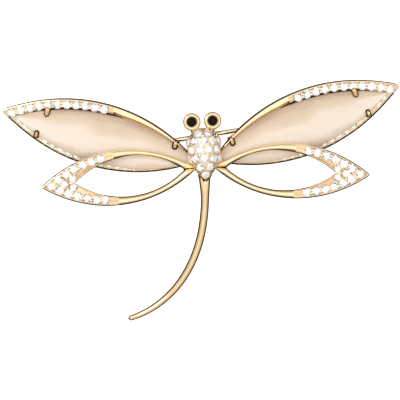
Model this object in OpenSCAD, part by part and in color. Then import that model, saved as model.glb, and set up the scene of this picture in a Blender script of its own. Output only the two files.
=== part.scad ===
// Dragonfly brooch: two upper wings set with cat's-eye slabs, two open lower wings, a crystal body and a pin.
// +X is to the right, +Y towards the head and +Z out of the face. The brooch lies on its back on Z = 0,
// and its origin is the middle of its outline on that plane. Heights and places along Y count from the eyes.

/* [Upper wings] */
// Length of an upper wing, root to tip
wing_len = 32.8; // [28:0.2:38]
// Rise of the wing's upper edge over the line from root to tip
wing_rise_top = 5.35; // [4.6:0.05:6]
// Fall of the wing's lower edge under that line
wing_rise_low = 5.1; // [4.6:0.1:6]
// Turn of the wing above the horizontal
wing_turn = 18.6; // [14:0.2:22]
// Wing root, sideways from the middle of the body
wing_root_x = 1.3; // [1:0.1:1.6]
// Wing root, below the eyes
wing_root_y = 6.4; // [6:0.1:6.8]
// Slope of the wing down to its tip
wing_droop = 4.5; // [4.2:0.1:5.5]
// Slope of the wing down to its lower edge
wing_pitch = 6; // [4:0.2:6.4]
// Thickness of the wing's back plate
plate_t = 0.9; // [0.8:0.05:1.2]
// Height of the upper rim over the back plate
rim_h = 0.9; // [0.7:0.05:1.2]
// Metal between the upper rim's crystals and the stone
rim_wall = 0.2; // [0.15:0.01:0.3]
// Width of the lower rim near the tip
low_rim_w = 0.86; // [0.7:0.02:1]

/* [Cat's-eye stones] */
// Gap around each stone
stone_gap = 0.1; // [0.06:0.01:0.15]
// Height of a stone's underside over the back plate
stone_seat_h = 0.2; // [0.16:0.01:0.3]
// Height of a stone at its edge
stone_edge_t = 0.4; // [0.3:0.05:0.7]
// Rise of a stone's dome over its edge
stone_dome_h = 0.6; // [0.4:0.05:0.9]
// Radius of the dome along the wing
stone_long_r = 150; // [120:5:250]
// Width of a claw that holds a stone
claw_w = 0.8; // [0.6:0.05:1]
// Thickness of a claw
claw_t = 0.45; // [0.3:0.05:0.6]

/* [Lower wings] */
// Length of a lower wing, root to tip
loop_len = 25.6; // [22:0.2:28]
// Rise of a lower wing's edges over the line from root to tip
loop_rise = 4.5; // [4.2:0.1:5]
// Start of the opening, from the root
opening_start = 1.55; // [1.3:0.05:1.9]
// Length of the opening
opening_len = 18.5; // [17:0.1:18.6]
// Rise of the opening's edges
opening_rise = 3.4; // [3:0.05:3.5]
// Lower wing root, sideways from the middle of the body
loop_root_x = 1.3; // [1.1:0.05:1.5]
// Lower wing root, below the eyes
loop_root_y = 7.5; // [7.2:0.05:7.7]
// Turn of the left lower wing below the horizontal
loop_turn_left = 3.5; // [2:0.1:6]
// Turn of the right lower wing, soldered on a little lower
loop_turn_right = 6.5; // [4:0.1:8]
// Slope of a lower wing down to its tip
loop_droop = 1.5; // [0.5:0.1:2]
// Thickness of a lower wing
loop_t = 1.3; // [1:0.05:1.6]
// Gap between a lower wing and the stone under it
loop_gap = 0.15; // [0.1:0.01:0.3]
// Width of the solder post between a lower wing and the upper wing
post_d = 0.7; // [0.5:0.05:0.8]

/* [Crystals] */
// Width of a crystal in the rims
crystal_d = 1.3; // [1.1:0.02:1.34]
// Width of a crystal along an upper wing's lower edge
edge_crystal_d = 1.15; // [0.9:0.01:1.2]
// Width of the pair of crystals at the opening's point
point_crystal_d = 1.1; // [0.9:0.01:1.14]
// Smallest gap between two crystals of a row
crystal_gap = 0.24; // [0.15:0.01:0.4]
// Metal left outside a row of crystals
rim_edge = 0.3; // [0.2:0.01:0.4]
// Height of a crystal's widest line over the metal
crystal_rise = 0.05; // [0:0.01:0.1]
// Gap between a stone and the metal around it
metal_gap = 0.05; // [0.03:0.01:0.06]
// Gap under a crystal's point
culet_gap = 0.08; // [0.07:0.01:0.12]

/* [Body] */
// Half width of the body
body_r = 2.75; // [2.6:0.05:3]
// Widest place of the body, below the eyes
body_wide_y = 4; // [3.8:0.1:4.2]
// Top of the body, below the eyes
body_top_y = 1.1; // [1:0.05:1.3]
// Point of the body, below the eyes
body_point_y = 9.7; // [9.4:0.1:10.2]
// Half width of the body where it starts
body_top_w = 0.75; // [0.5:0.05:1]
// Height of the body's back over the surface it lies on, which leaves room for cloth on the pin
body_back_z = 2.2; // [2.2:0.05:2.4]
// Height of the body's axis over the roots of the lower wings
body_lift = 0.3; // [0:0.05:0.6]

/* [Eyes] */
// Distance between the eyes' middles
eye_span = 3.4; // [3.2:0.05:3.8]
// Outer width of an eye's setting
eye_cup_d = 2.85; // [2.6:0.05:3]
// Width of a black eye stone
eye_stone_d = 1.6; // [1.3:0.05:1.8]
// Height of an eye's setting
eye_cup_h = 2.4; // [2:0.1:2.8]
// Depth of the seat in an eye's setting
eye_seat_depth = 0.7; // [0.6:0.05:0.9]
// Back of an eye's setting, under the body's axis
eye_drop = 1.6; // [1.3:0.05:1.9]
// Width of the stalk between the body and an eye
stalk_d = 1.5; // [1:0.1:1.6]

/* [Tail] */
// Length of the tail along its curve
tail_len = 29.1; // [24:0.1:32]
// Start of the tail, below the eyes
tail_top_y = 8.6; // [8.2:0.1:8.8]
// Turn of the tail where it ends
tail_end_turn = 78.5; // [60:0.5:90]
// Width of the tail where it starts
tail_root_w = 2.1; // [1.8:0.1:2.3]
// Width of the tail along most of its length
tail_mid_w = 1.25; // [1:0.05:1.4]
// Width of the tail at its end
tail_end_w = 0.8; // [0.6:0.05:1]
// Start of the tail over the roots of the upper wings
tail_lift = 0.5; // [0.2:0.05:0.8]

/* [Pin] */
// Width of the pin's wire
wire_d = 0.7; // [0.6:0.02:0.8]
// Middle of the pin's wire, below the eyes
pin_y = 2.3; // [2.1:0.1:2.6]
// Turn of the pin against the horizontal
pin_turn = 5.5; // [3:0.5:7]
// Distance of the hinge from the body's middle
hinge_x = 8.5; // [7.5:0.1:9]
// Distance of the catch's outer end from the body's middle
catch_x = 10.4; // [9:0.1:11]
// Width of the eye at the pin's end
pin_eye_d = 1.5; // [1.4:0.02:1.56]
// Thickness of that eye, along its rivet
pin_eye_t = 0.9; // [0.8:0.05:1.1]
// Width of the hinge's rivet
rivet_d = 0.6; // [0.5:0.02:0.7]
// Radial gap between rivet and eye
rivet_gap = 0.06; // [0.03:0.01:0.09]
// Width of each ear of the hinge, narrower than the pin's eye so that cloth on the wire clears it
ear_w = 1.2; // [1.1:0.02:1.2]
// Thickness of each ear of the hinge
ear_t = 0.6; // [0.5:0.05:0.8]
// Gap between the eye and each ear of the hinge
ear_gap = 0.12; // [0.1:0.01:0.2]
// Length of the catch
catch_len = 2.6; // [2:0.1:3]
// Thickness of the catch's walls
catch_wall = 0.5; // [0.4:0.05:0.7]
// Gap between the wire and the walls of the catch
catch_gap = 0.15; // [0.12:0.01:0.25]
// Width of the wire where it leaves the hinge
neck_d = 0.5; // [0.4:0.02:0.6]
// Length over which it widens from there to its full width
neck_len = 1.3; // [1.2:0.05:1.6]
// Length of the pin's point
point_len = 2.2; // [1.5:0.1:3]
// Width of the point at its end
point_d = 0.12; // [0.1:0.02:0.2]
// Height of the hinge and the catch over the surface
ground_gap = 0.25; // [0.15:0.01:0.3]

/* [Hidden] */
$fn = 64;
arc_fn = 360;
gold = [0.9, 0.76, 0.5];
clear_stone = [0.95, 0.95, 0.98];
cream_stone = [0.96, 0.88, 0.8];
black_stone = [0.05, 0.05, 0.06];
big = 80;

// Beside a stone the rims widen towards the tip: [share of the wing's length, share of the rim's full width]
rim_sections = [[0.08, 0.14],
                [0.5, 0.88],
                [0.91, 1]];
stone_start_share = 0.08;
stone_tip_share = 0.942;
slab_steps = 28;
dome_steps = 9;

// Claws: share of the wing's length, side of the stone (1 top, -1 low), reach over the stone as a share of claw_w
claws = [[0.12, 1, 1.25],
         [0.78, 1, 1.4],
         [0.805, -1, 1.15]];
claw_bite = 0.1;

// Proportions of a cut crystal, as shares of its width
crown_share = 0.15;
girdle_share = 0.03;
pavilion_share = 0.3;
table_share = 0.56;
seat_floor_share = 0.24;
crystal_sides = 8;
eye_stone_sides = 12;

// Row under a stone's lower edge: from and to these shares of the wing's length
low_row_shares = [0.27, 0.91];
low_row_edge = 0.2;
low_row_sink = 0.12;

// Row along a lower wing's edge: crystals on a side, and the start of the second, as a share of a step
loop_rim_count = 7;
loop_row_start = 0.06;

// Rows of crystals on the body: place from its top to its point, crystals in the row
body_rows = [[0.1, 2],
             [0.245, 5],
             [0.413, 4],
             [0.582, 5],
             [0.745, 2],
             [0.888, 1]];
body_crystal_gap = 0.14;
body_crystal_in = 0.2;
egg_steps = 14;

// The tail: steps along it, sides round it, its start beside the body's middle, its first heading, how that grows,
// the share of its length over which it narrows, and how it thins out after that
tail_steps = 22;
tail_sides = 14;
tail_x = -0.2;
tail_start_turn = 0.5;
tail_power = 1.5;
tail_neck_share = 0.17;
tail_taper_power = 2.5;

post_edge = 0.08;
point_gap = 0.15;

// A lens is where two round discs overlap: its radii and middles follow from its length and its two rises
function arc_r(len, rise) = (len * len / 4 + rise * rise) / (2 * rise);
function mid3(p, q, s) =
    let (a = q - p, b = s - p, d = 2 * (a.x * b.y - a.y * b.x))
    p + [b.y * (a * a) - a.y * (b * b), a.x * (b * b) - b.x * (a * a)] / d;
function turned(p, a) = [p.x * cos(a) - p.y * sin(a), p.x * sin(a) + p.y * cos(a)];

top_r = arc_r(wing_len, wing_rise_top);
low_r = arc_r(wing_len, wing_rise_low);
top_c = [wing_len / 2, wing_rise_top - top_r];
low_c = [wing_len / 2, low_r - wing_rise_low];
function wing_top(u) = top_c.y + sqrt(top_r * top_r - pow(u - top_c.x, 2));
function wing_low(u) = low_c.y - sqrt(low_r * low_r - pow(u - low_c.x, 2));

rim_w = rim_edge + crystal_d + rim_wall;
stone_start = stone_start_share * wing_len;
stone_top_pts = [for (s = rim_sections) let (u = s[0] * wing_len) [u, wing_top(u) - s[1] * rim_w]];
stone_low_pts = [for (s = rim_sections) let (u = s[0] * wing_len) [u, wing_low(u) + s[1] * low_rim_w]];
stone_top_c = mid3(stone_top_pts[0], stone_top_pts[1], stone_top_pts[2]);
stone_low_c = mid3(stone_low_pts[0], stone_low_pts[1], stone_low_pts[2]);
stone_top_r = norm(stone_top_pts[0] - stone_top_c);
stone_low_r = norm(stone_low_pts[0] - stone_low_c);
function stone_top(u) = stone_top_c.y + sqrt(pow(stone_top_r, 2) - pow(u - stone_top_c.x, 2));
function stone_low(u) = stone_low_c.y - sqrt(pow(stone_low_r, 2) - pow(u - stone_low_c.x, 2));

// The dome falls from its middle by stone_dome_h at both long edges of the stone
stone_half_w = (stone_top(wing_len / 2) - stone_low(wing_len / 2)) / 2;
stone_mid_v = (stone_top(wing_len / 2) + stone_low(wing_len / 2)) / 2;
stone_cross_r = arc_r(2 * stone_half_w, stone_dome_h);
stone_base_w = plate_t + stone_seat_h;
stone_peak_w = stone_base_w + stone_edge_t + stone_dome_h;
function stone_w(u, v) = stone_peak_w - pow(u - wing_len / 2, 2) / (2 * stone_long_r)
    - pow(v - stone_mid_v, 2) / (2 * stone_cross_r);

// The tip of an upper wing rests on Z = 0, and the rest stands as high as its slopes make it
wing_root = [wing_root_x, -wing_root_y];
wing_root_z = wing_len * sin(wing_droop);
function wing_uv(p) = turned(p - wing_root, -wing_turn);
function wing_z(uv, w) = wing_root_z - uv.x * sin(wing_droop) + uv.y * sin(wing_pitch) + w;
function wing_xy(uv) = wing_root + turned([uv.x * cos(wing_droop), uv.y * cos(wing_pitch)], wing_turn);

// A lower wing, named loop here, clears the stone that it crosses at all sampled places of its upper bar
loop_r = arc_r(loop_len, loop_rise);
loop_c = [loop_len / 2, loop_rise - loop_r];
loop_root = [loop_root_x, -loop_root_y];
opening_r = arc_r(opening_len, opening_rise);
opening_c = [opening_start + opening_len / 2, opening_rise - opening_r];
function loop_top(u) = loop_c.y + sqrt(loop_r * loop_r - pow(u - loop_c.x, 2));
function loop_xy(uv, turn) = loop_root + turned(uv, -turn);
loop_samples = [for (turn = [loop_turn_left, loop_turn_right], s = [0.12:0.04:0.72])
    let (u = s * loop_len, uv = wing_uv(loop_xy([u, loop_top(u)], turn)))
    wing_z(uv, stone_w(uv.x, uv.y)) + u * sin(loop_droop)];
loop_root_z = max(loop_samples) + loop_gap;

// The row of crystals along each rim follows the rim's outer edge, one crystal's half width and rim_edge in
row_in = rim_edge + crystal_d / 2;
row_pitch = crystal_d + crystal_gap;
row_tip_in = rim_edge + crystal_d;
top_row_r = top_r - row_in;
low_row_r = low_r - low_row_edge - edge_crystal_d / 2;
loop_row_r = loop_r - row_in;
function step_turn(pitch, r) = pitch / r * 180 / PI;

// Post: where the middle of the lower wing's upper bar crosses the upper wing's low rim
function post_at(turn) =
    let (a = loop_xy(loop_c, turn), ra = loop_r - row_in,
         b = wing_xy(low_c), rb = low_r - post_edge - post_d / 2,
         d = norm(b - a), k = (d * d + ra * ra - rb * rb) / (2 * d), h = sqrt(ra * ra - k * k),
         e = (b - a) / d)
    a + k * e + h * [e.y, -e.x];

// Crystals of an upper wing: [place, width, height of the widest line over the back]
top_w = plate_t + rim_h + crystal_rise;
top_step = step_turn(row_pitch, top_row_r);
top_tip_turn = asin((wing_len / 2 - row_tip_in) / top_row_r);
top_count = floor(top_tip_turn / top_step) + 1;
top_row = [for (i = [0:top_count - 1])
    let (a = top_tip_turn - i * top_step)
    [top_c + top_row_r * [sin(a), cos(a)], crystal_d, top_w]];
low_step = step_turn(edge_crystal_d + crystal_gap, low_row_r);
low_turns = [for (s = low_row_shares) asin((s * wing_len - low_c.x) / low_row_r)];
low_count = floor((low_turns[1] - low_turns[0]) / low_step) + 1;
low_reach = (edge_crystal_d + max(post_d, claw_w)) / 2 + 2 * metal_gap;
function clear_of(p, posts) = min([for (q = posts) norm(p - q)]) > low_reach;
function low_row(turn) = [for (i = [0:low_count - 1])
    let (a = low_turns[1] - i * low_step,
         p = low_c + low_row_r * [sin(a), -cos(a)])
    if (clear_of(p, [wing_uv(post_at(turn)), claw_post(claws[2])]))
    [p, edge_crystal_d, plate_t - low_row_sink]];

// Crystals of a lower wing: both rims, meeting in one at the tip, and three inside them by the opening's point,
// where a pair stands as far as a wall of metal needs from the opening and the third fits between rim and pair
loop_w = loop_t + crystal_rise;
loop_tip_turn = asin((loop_len / 2 - row_tip_in) / loop_row_r);
loop_step = step_turn(row_pitch, loop_row_r);
function loop_rim(i) = let (a = loop_tip_turn - (i + loop_row_start) * loop_step)
    loop_c + loop_row_r * [sin(a), cos(a)];
opening_end = opening_start + opening_len;
opening_turn = asin(opening_len / 2 / opening_r);
pair_v = (point_crystal_d + crystal_gap) / 2 + metal_gap;
pair_in = point_crystal_d / 2 + 3 * metal_gap;
pair_u = opening_end + (pair_in - pair_v * cos(opening_turn)) / sin(opening_turn);
third_reach = (crystal_d + point_crystal_d) / 2 + 2 * metal_gap;
third_u = loop_rim(1).x - sqrt(pow(third_reach, 2) - pow(loop_rim(1).y, 2));
loop_row = concat(
    [[[loop_rim(0).x, 0], crystal_d, loop_w]],
    [for (i = [1:loop_rim_count - 1], side = [1, -1])
        [[loop_rim(i).x, side * loop_rim(i).y], crystal_d, loop_w]],
    [for (side = [1, -1]) [[pair_u, side * pair_v], point_crystal_d, loop_w]],
    [[[third_u, 0], point_crystal_d, loop_w]]);

// The body is an egg turned about its long axis, cut flat at the back
body_axis_z = loop_root_z + body_lift;
low_part_r = arc_r(2 * (body_point_y - body_wide_y), body_r);
top_part_r = arc_r(2 * (body_wide_y - body_top_y), body_r - body_top_w);
function body_half(y) = y > body_wide_y
    ? sqrt(pow(low_part_r, 2) - pow(y - body_wide_y, 2)) - low_part_r + body_r
    : sqrt(pow(top_part_r, 2) - pow(y - body_wide_y, 2)) - top_part_r + body_r;
function body_slope(y) = asin((y - body_wide_y) / (y > body_wide_y ? low_part_r : top_part_r));

// The tail's course: its heading grows with a power of the way along it
tail_root_z = wing_root_z + tail_lift;
function tail_turn(t) = tail_start_turn + (tail_end_turn - tail_start_turn) * pow(t, tail_power);
function tail_sum(n) = n == 0 ? [tail_x, -tail_top_y]
    : tail_sum(n - 1) - tail_len / tail_steps * [sin(tail_turn((n - 0.5) / tail_steps)),
                                                 cos(tail_turn((n - 0.5) / tail_steps))];
function tail_w(t) = t < tail_neck_share
    ? tail_root_w + (tail_mid_w - tail_root_w) * sin(90 * t / tail_neck_share)
    : tail_mid_w + (tail_end_w - tail_mid_w) * pow((t - tail_neck_share) / (1 - tail_neck_share), tail_taper_power);
tail_end_z = tail_end_w / 2;
function tail_z(t) = tail_end_z + (tail_root_z - tail_end_z) * (0.5 + 0.5 * cos(180 * t));
tail_end = tail_sum(tail_steps);

// Middle of the outline, from the highest point of the upper wings to the lowest of the tail
outline_top = max([for (s = [0.5:0.01:1]) wing_xy([s * wing_len, wing_top(s * wing_len)]).y]);
outline_low = tail_end.y - tail_end_w / 2 * sin(tail_end_turn);
outline_mid = (outline_top + outline_low) / 2;

eye_z = body_axis_z - eye_drop;

// Pin: its height over the surface, and the height of an upper wing's back over a place
pin_z = ground_gap + pin_eye_d / 2;
function pin_xy(x) = [x, -pin_y + x * tan(pin_turn)];
function back_z(p) = wing_z(wing_uv([abs(p.x), p.y]), 0);
hinge_xy = pin_xy(-hinge_x);
slot_w = wire_d + 2 * catch_gap;
stem_len = norm(pin_xy(catch_x) - hinge_xy) - catch_wall - point_gap;

module lens(len, rise_top, rise_low) {
    intersection() {
        translate([len / 2, rise_top - arc_r(len, rise_top)]) circle(r = arc_r(len, rise_top), $fn = arc_fn);
        translate([len / 2, arc_r(len, rise_low) - rise_low]) circle(r = arc_r(len, rise_low), $fn = arc_fn);
    }
}

module from_u(u) {
    translate([u, -big / 2]) square([big, big]);
}

// Places a child drawn in an upper wing's own plane, on the right side
module on_wing() {
    translate([wing_root.x, wing_root.y, wing_root_z])
        rotate([0, 0, wing_turn])
            rotate([0, wing_droop, 0])
                rotate([wing_pitch, 0, 0]) children();
}

// The same for a lower wing
module on_loop(turn) {
    translate([loop_root.x, loop_root.y, loop_root_z])
        rotate([0, 0, -turn]) rotate([0, loop_droop, 0]) children();
}

module sided(side) {
    if (side < 0) mirror([1, 0, 0]) children();
    else children();
}

// A brilliant cut with its girdle on Z = 0: table, crown, girdle and pavilion
module crystal(d, sides = crystal_sides) {
    step = 360 / sides;
    top_z = (girdle_share + crown_share) * d;
    pts = concat(
        [for (i = [0:sides - 1]) [d * table_share / 2 * cos((i + 0.5) * step),
                                  d * table_share / 2 * sin((i + 0.5) * step), top_z]],
        [for (i = [0:sides - 1]) [d / 2 * cos(i * step), d / 2 * sin(i * step), girdle_share * d]],
        [for (i = [0:sides - 1]) [d / 2 * cos(i * step), d / 2 * sin(i * step), 0]],
        [[0, 0, -pavilion_share * d]]);
    faces = concat(
        [[for (i = [sides - 1:-1:0]) i]],
        [for (i = [0:sides - 1]) let (j = (i + 1) % sides) each [
            [i, sides + j, sides + i],
            [i, j, sides + j],
            [sides + i, sides + j, 2 * sides + j, 2 * sides + i],
            [2 * sides + i, 2 * sides + j, 3 * sides]]]);
    polyhedron(pts, faces);
}

module crystals(rows) {
    for (c = rows) translate([c[0].x, c[0].y, c[2]]) crystal(c[1]);
}

// The drilled seats that those crystals sit in
module seats(rows) {
    for (c = rows) translate([c[0].x, c[0].y, c[2] - seat_depth(c[1])]) seat(c[1]);
}

function seat_depth(d) = pavilion_share * d + culet_gap;
module seat(d) {
    edge = d / 2 + metal_gap;
    rotate_extrude() polygon([[0, 0], [seat_floor_share * d / 2, 0], [edge, seat_depth(d)], [edge, d], [0, d]]);
}

function claw_edge(c) = c[1] > 0 ? stone_top(c[0] * wing_len) : stone_low(c[0] * wing_len);
function claw_post(c) = [c[0] * wing_len, claw_edge(c) - c[1] * (claw_w / 2 - claw_bite)];

// A claw: a post through the stone's edge and a finger bent over it, both wider by grow
module claw(c, grow = 0) {
    p = claw_post(c);
    finger_w = stone_w(p.x, p.y) - claw_bite;
    tip = p - [0, c[1] * (c[2] - 0.5) * claw_w];
    translate([p.x, p.y, plate_t / 2])
        cylinder(d = claw_w + 2 * grow, h = finger_w + claw_t - plate_t / 2 + grow);
    translate([0, 0, finger_w - grow]) linear_extrude(claw_t + 2 * grow) {
        translate(tip) circle(d = claw_w + 2 * grow);
        translate([p.x - claw_w / 2 - grow, min(p.y, tip.y)])
            square([claw_w + 2 * grow, abs(p.y - tip.y)]);
    }
}

// Back plate, raised upper rim and the crystals' seats
module wing_metal(turn) {
    difference() {
        union() {
            linear_extrude(plate_t) lens(wing_len, wing_rise_top, wing_rise_low);
            linear_extrude(plate_t + rim_h) difference() {
                lens(wing_len, wing_rise_top, wing_rise_low);
                intersection() {
                    translate(stone_top_c) circle(r = stone_top_r + stone_gap, $fn = arc_fn);
                    from_u(stone_start - stone_gap);
                }
            }
        }
        seats(top_row);
        seats(low_row(turn));
    }
    for (c = claws) claw(c);
}

module loop_metal() {
    difference() {
        linear_extrude(loop_t) difference() {
            lens(loop_len, loop_rise, loop_rise);
            translate([opening_start, 0]) lens(opening_len, opening_rise, opening_rise);
        }
        seats(loop_row);
    }
}

module post(turn, grow = 0) {
    p = post_at(turn);
    low_z = wing_z(wing_uv(p), plate_t / 2);
    translate([p.x, p.y, low_z]) cylinder(d = post_d + 2 * grow, h = loop_root_z + loop_t / 2 - low_z
        - (p.x - loop_root.x) * sin(loop_droop));
}

module body_egg() {
    length = body_point_y - body_top_y;
    translate([0, 0, body_axis_z]) rotate([90, 0, 0]) rotate_extrude() polygon(concat(
        [[0, body_top_y]],
        [for (i = [0:egg_steps - 1]) let (y = body_top_y + i / egg_steps * length) [body_half(y), y]],
        [[0, body_point_y]]));
}

// Puts a child on the body's surface: the row's place along Y, and the turn around the body's axis
module on_body(y, a) {
    translate([0, -y, body_axis_z]) rotate([0, a, 0]) translate([0, 0, body_half(y)])
        rotate([body_slope(y), 0, 0]) children();
}

module body_places() {
    for (row = body_rows) {
        y = body_top_y + row[0] * (body_point_y - body_top_y);
        step = 2 * asin((crystal_d + body_crystal_gap) / 2 / (body_half(y) - body_crystal_in));
        for (i = [0:row[1] - 1]) on_body(y, (i - (row[1] - 1) / 2) * step) children();
    }
}

// The body and the lower wings that run into it. The seats of the body's crystals go through both.
module body_metal() {
    difference() {
        union() {
            difference() {
                body_egg();
                translate([-big / 2, -big / 2, body_back_z - big]) cube(big);
            }
            on_loop(loop_turn_right) loop_metal();
            mirror([1, 0, 0]) on_loop(loop_turn_left) loop_metal();
        }
        body_places() translate([0, 0, crystal_rise - seat_depth(crystal_d)]) seat(crystal_d);
    }
}

// An eye's round setting and the stalk that joins it to the body
module eye_metal() {
    translate([eye_span / 2, 0, eye_z]) difference() {
        cylinder(d = eye_cup_d, h = eye_cup_h);
        translate([0, 0, eye_cup_h - eye_seat_depth]) cylinder(d = eye_stone_d + 2 * metal_gap, h = eye_cup_h);
    }
    stalk = [eye_span / 4, (body_top_y + body_wide_y) / 2];
    translate([eye_span / 2 - stalk.x, -stalk.y, eye_z + (eye_cup_h - eye_seat_depth) / 2])
        rotate([0, 90, atan2(stalk.y, stalk.x)]) cylinder(d = stalk_d, h = norm(stalk) - eye_cup_d / 3);
}

// One ring of points across the tail for each step along it
module tail() {
    rings = [for (n = [0:tail_steps])
        let (t = n / tail_steps, c = tail_sum(n), a = tail_turn(t), w = tail_w(t), h = min(w, tail_mid_w))
        [for (i = [0:tail_sides - 1])
            let (b = (i + 0.5) * 360 / tail_sides)
            [c.x + w / 2 * cos(b) * cos(a), c.y - w / 2 * cos(b) * sin(a), tail_z(t) + h / 2 * sin(b)]]];
    faces = concat(
        [[for (i = [0:tail_sides - 1]) i]],
        [for (n = [0:tail_steps - 1], i = [0:tail_sides - 1])
            let (j = (i + 1) % tail_sides, k = n * tail_sides, m = k + tail_sides)
            each [[k + i, m + j, k + j], [k + i, m + i, m + j]]],
        [[for (i = [tail_sides - 1:-1:0]) tail_steps * tail_sides + i]]);
    polyhedron([for (r = rings) each r], faces);
}

// Places a child at the pin's height with its X along the wire
module on_pin(p) {
    translate([p.x, p.y, pin_z]) rotate([0, 0, pin_turn]) children();
}

module hinge_metal() {
    ear_top = back_z(hinge_xy) + plate_t / 2 - pin_z;
    on_pin(hinge_xy) {
        for (side = [1, -1]) translate([0, side * (pin_eye_t / 2 + ear_gap + ear_t / 2), 0]) {
            rotate([90, 0, 0]) translate([0, 0, -ear_t / 2]) cylinder(d = ear_w, h = ear_t);
            translate([-ear_w / 2, -ear_t / 2, 0]) cube([ear_w, ear_t, ear_top]);
        }
        rotate([90, 0, 0]) translate([0, 0, -pin_eye_t / 2 - ear_gap - ear_t / 2])
            cylinder(d = rivet_d, h = pin_eye_t + 2 * ear_gap + ear_t);
    }
}

// A trough, open at the back, that covers the pin's point
module catch_metal() {
    end = pin_xy(catch_x);
    catch_w = slot_w + 2 * catch_wall;
    catch_top = back_z(end) + plate_t / 2 - pin_z;
    on_pin(end) difference() {
        translate([-catch_len, -catch_w / 2, ground_gap - pin_z])
            cube([catch_len, catch_w, catch_top + pin_z - ground_gap]);
        translate([-2 * catch_len, -slot_w / 2, -pin_z]) cube([2 * catch_len - catch_wall, slot_w, pin_z]);
        translate([-2 * catch_len, 0, 0]) rotate([0, 90, 0])
            cylinder(d = slot_w, h = 2 * catch_len - catch_wall);
    }
}

module metal_frame() {
    color(gold) translate([0, -outline_mid, 0]) {
        for (side = [1, -1]) sided(side) {
            turn = side > 0 ? loop_turn_right : loop_turn_left;
            on_wing() wing_metal(turn);
            post(turn);
            eye_metal();
        }
        body_metal();
        tail();
        hinge_metal();
        catch_metal();
    }
}

// A slab lofted along the wing: flat back, upright edges and a dome
module stone_slab() {
    stone_end = stone_tip_share * wing_len;
    count = dome_steps + 3;
    pts = [for (i = [0:slab_steps])
        let (u = stone_start + (stone_end - stone_start) * i / slab_steps, low = stone_low(u), top = stone_top(u))
        each concat(
            [[u, low, stone_base_w], [u, top, stone_base_w]],
            [for (k = [0:dome_steps]) let (v = top + (low - top) * k / dome_steps) [u, v, stone_w(u, v)]])];
    faces = concat(
        [[for (k = [0:count - 1]) k]],
        [for (i = [0:slab_steps - 1], k = [0:count - 1])
            let (j = (k + 1) % count, a = i * count, b = a + count)
            each [[a + k, b + k, b + j], [a + k, b + j, a + j]]],
        [[for (k = [count - 1:-1:0]) slab_steps * count + k]]);
    polyhedron(pts, faces);
}

module cats_eye(side) {
    turn = side > 0 ? loop_turn_right : loop_turn_left;
    color(cream_stone) translate([0, -outline_mid, 0]) sided(side) difference() {
        on_wing() difference() {
            stone_slab();
            for (c = claws) claw(c, metal_gap);
        }
        post(turn, metal_gap);
    }
}

module wing_crystals(side) {
    turn = side > 0 ? loop_turn_right : loop_turn_left;
    color(clear_stone) translate([0, -outline_mid, 0]) sided(side) on_wing()
        crystals(concat(top_row, low_row(turn)));
}

module lower_crystals(side) {
    turn = side > 0 ? loop_turn_right : loop_turn_left;
    color(clear_stone) translate([0, -outline_mid, 0]) sided(side) on_loop(turn) crystals(loop_row);
}

module body_crystals() {
    color(clear_stone) translate([0, -outline_mid, 0])
        body_places() translate([0, 0, crystal_rise]) crystal(crystal_d);
}

module eye_stone(side) {
    color(black_stone) translate([side * eye_span / 2, -outline_mid, eye_z + eye_cup_h])
        crystal(eye_stone_d, eye_stone_sides);
}

// Wire with an eye at the hinge and a point in the catch
module pin_stem() {
    color(gold) translate([0, -outline_mid, 0]) on_pin(hinge_xy) difference() {
        union() {
            rotate([90, 0, 0]) translate([0, 0, -pin_eye_t / 2]) cylinder(d = pin_eye_d, h = pin_eye_t);
            rotate([0, 90, 0]) cylinder(d1 = neck_d, d2 = wire_d, h = neck_len);
            translate([neck_len, 0, 0]) rotate([0, 90, 0])
                cylinder(d = wire_d, h = stem_len - point_len - neck_len);
            translate([stem_len - point_len, 0, 0]) rotate([0, 90, 0])
                cylinder(d1 = wire_d, d2 = point_d, h = point_len);
        }
        rotate([90, 0, 0]) translate([0, 0, -pin_eye_t])
            cylinder(d = rivet_d + 2 * rivet_gap, h = 2 * pin_eye_t);
    }
}

metal_frame();
cats_eye(-1);  // cats_eye_left
cats_eye(1);  // cats_eye_right
eye_stone(-1);  // eye_stone_left
eye_stone(1);  // eye_stone_right
wing_crystals(-1);  // wing_crystals_left
wing_crystals(1);  // wing_crystals_right
lower_crystals(-1);  // lower_crystals_left
lower_crystals(1);  // lower_crystals_right
body_crystals();
pin_stem();
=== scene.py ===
import random
from itertools import combinations
from math import cos, exp, pi, radians, sin, sqrt, tau

import bmesh
import bpy
import numpy as np
from mathutils import Matrix, Vector


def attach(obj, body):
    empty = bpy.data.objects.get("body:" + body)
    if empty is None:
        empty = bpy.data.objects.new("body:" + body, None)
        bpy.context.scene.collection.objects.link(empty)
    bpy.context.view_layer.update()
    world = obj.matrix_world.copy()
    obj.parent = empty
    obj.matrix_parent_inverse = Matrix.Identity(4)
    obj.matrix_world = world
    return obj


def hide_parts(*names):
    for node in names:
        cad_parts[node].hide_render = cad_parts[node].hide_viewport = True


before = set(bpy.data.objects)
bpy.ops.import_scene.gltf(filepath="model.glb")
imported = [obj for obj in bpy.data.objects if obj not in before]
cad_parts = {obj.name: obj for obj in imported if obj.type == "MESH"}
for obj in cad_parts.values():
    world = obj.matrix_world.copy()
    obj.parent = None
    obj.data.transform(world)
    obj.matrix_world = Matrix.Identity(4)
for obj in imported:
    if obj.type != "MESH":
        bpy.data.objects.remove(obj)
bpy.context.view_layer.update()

# Lengths below are in millimetres. A wing's pieces are drawn in its own plane, u from root to tip, v towards
# its upper edge and w out of its face, and then placed with the wing's slopes.
milli = 0.001
sideOf = {"right": 1, "left": -1}
print("frame loaded:", len(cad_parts), "nodes")


# Arcs and profiles
def arcRadius(length, rise):
    return (length * length / 4 + rise * rise) / (2 * rise)


def arcEdge(length, rise, start=0.0):  # height of an arc over its chord
    radius = arcRadius(length, rise)
    return lambda u: sqrt(max(0.0, radius * radius - (u - start - length / 2) ** 2)) + rise - radius


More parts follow.
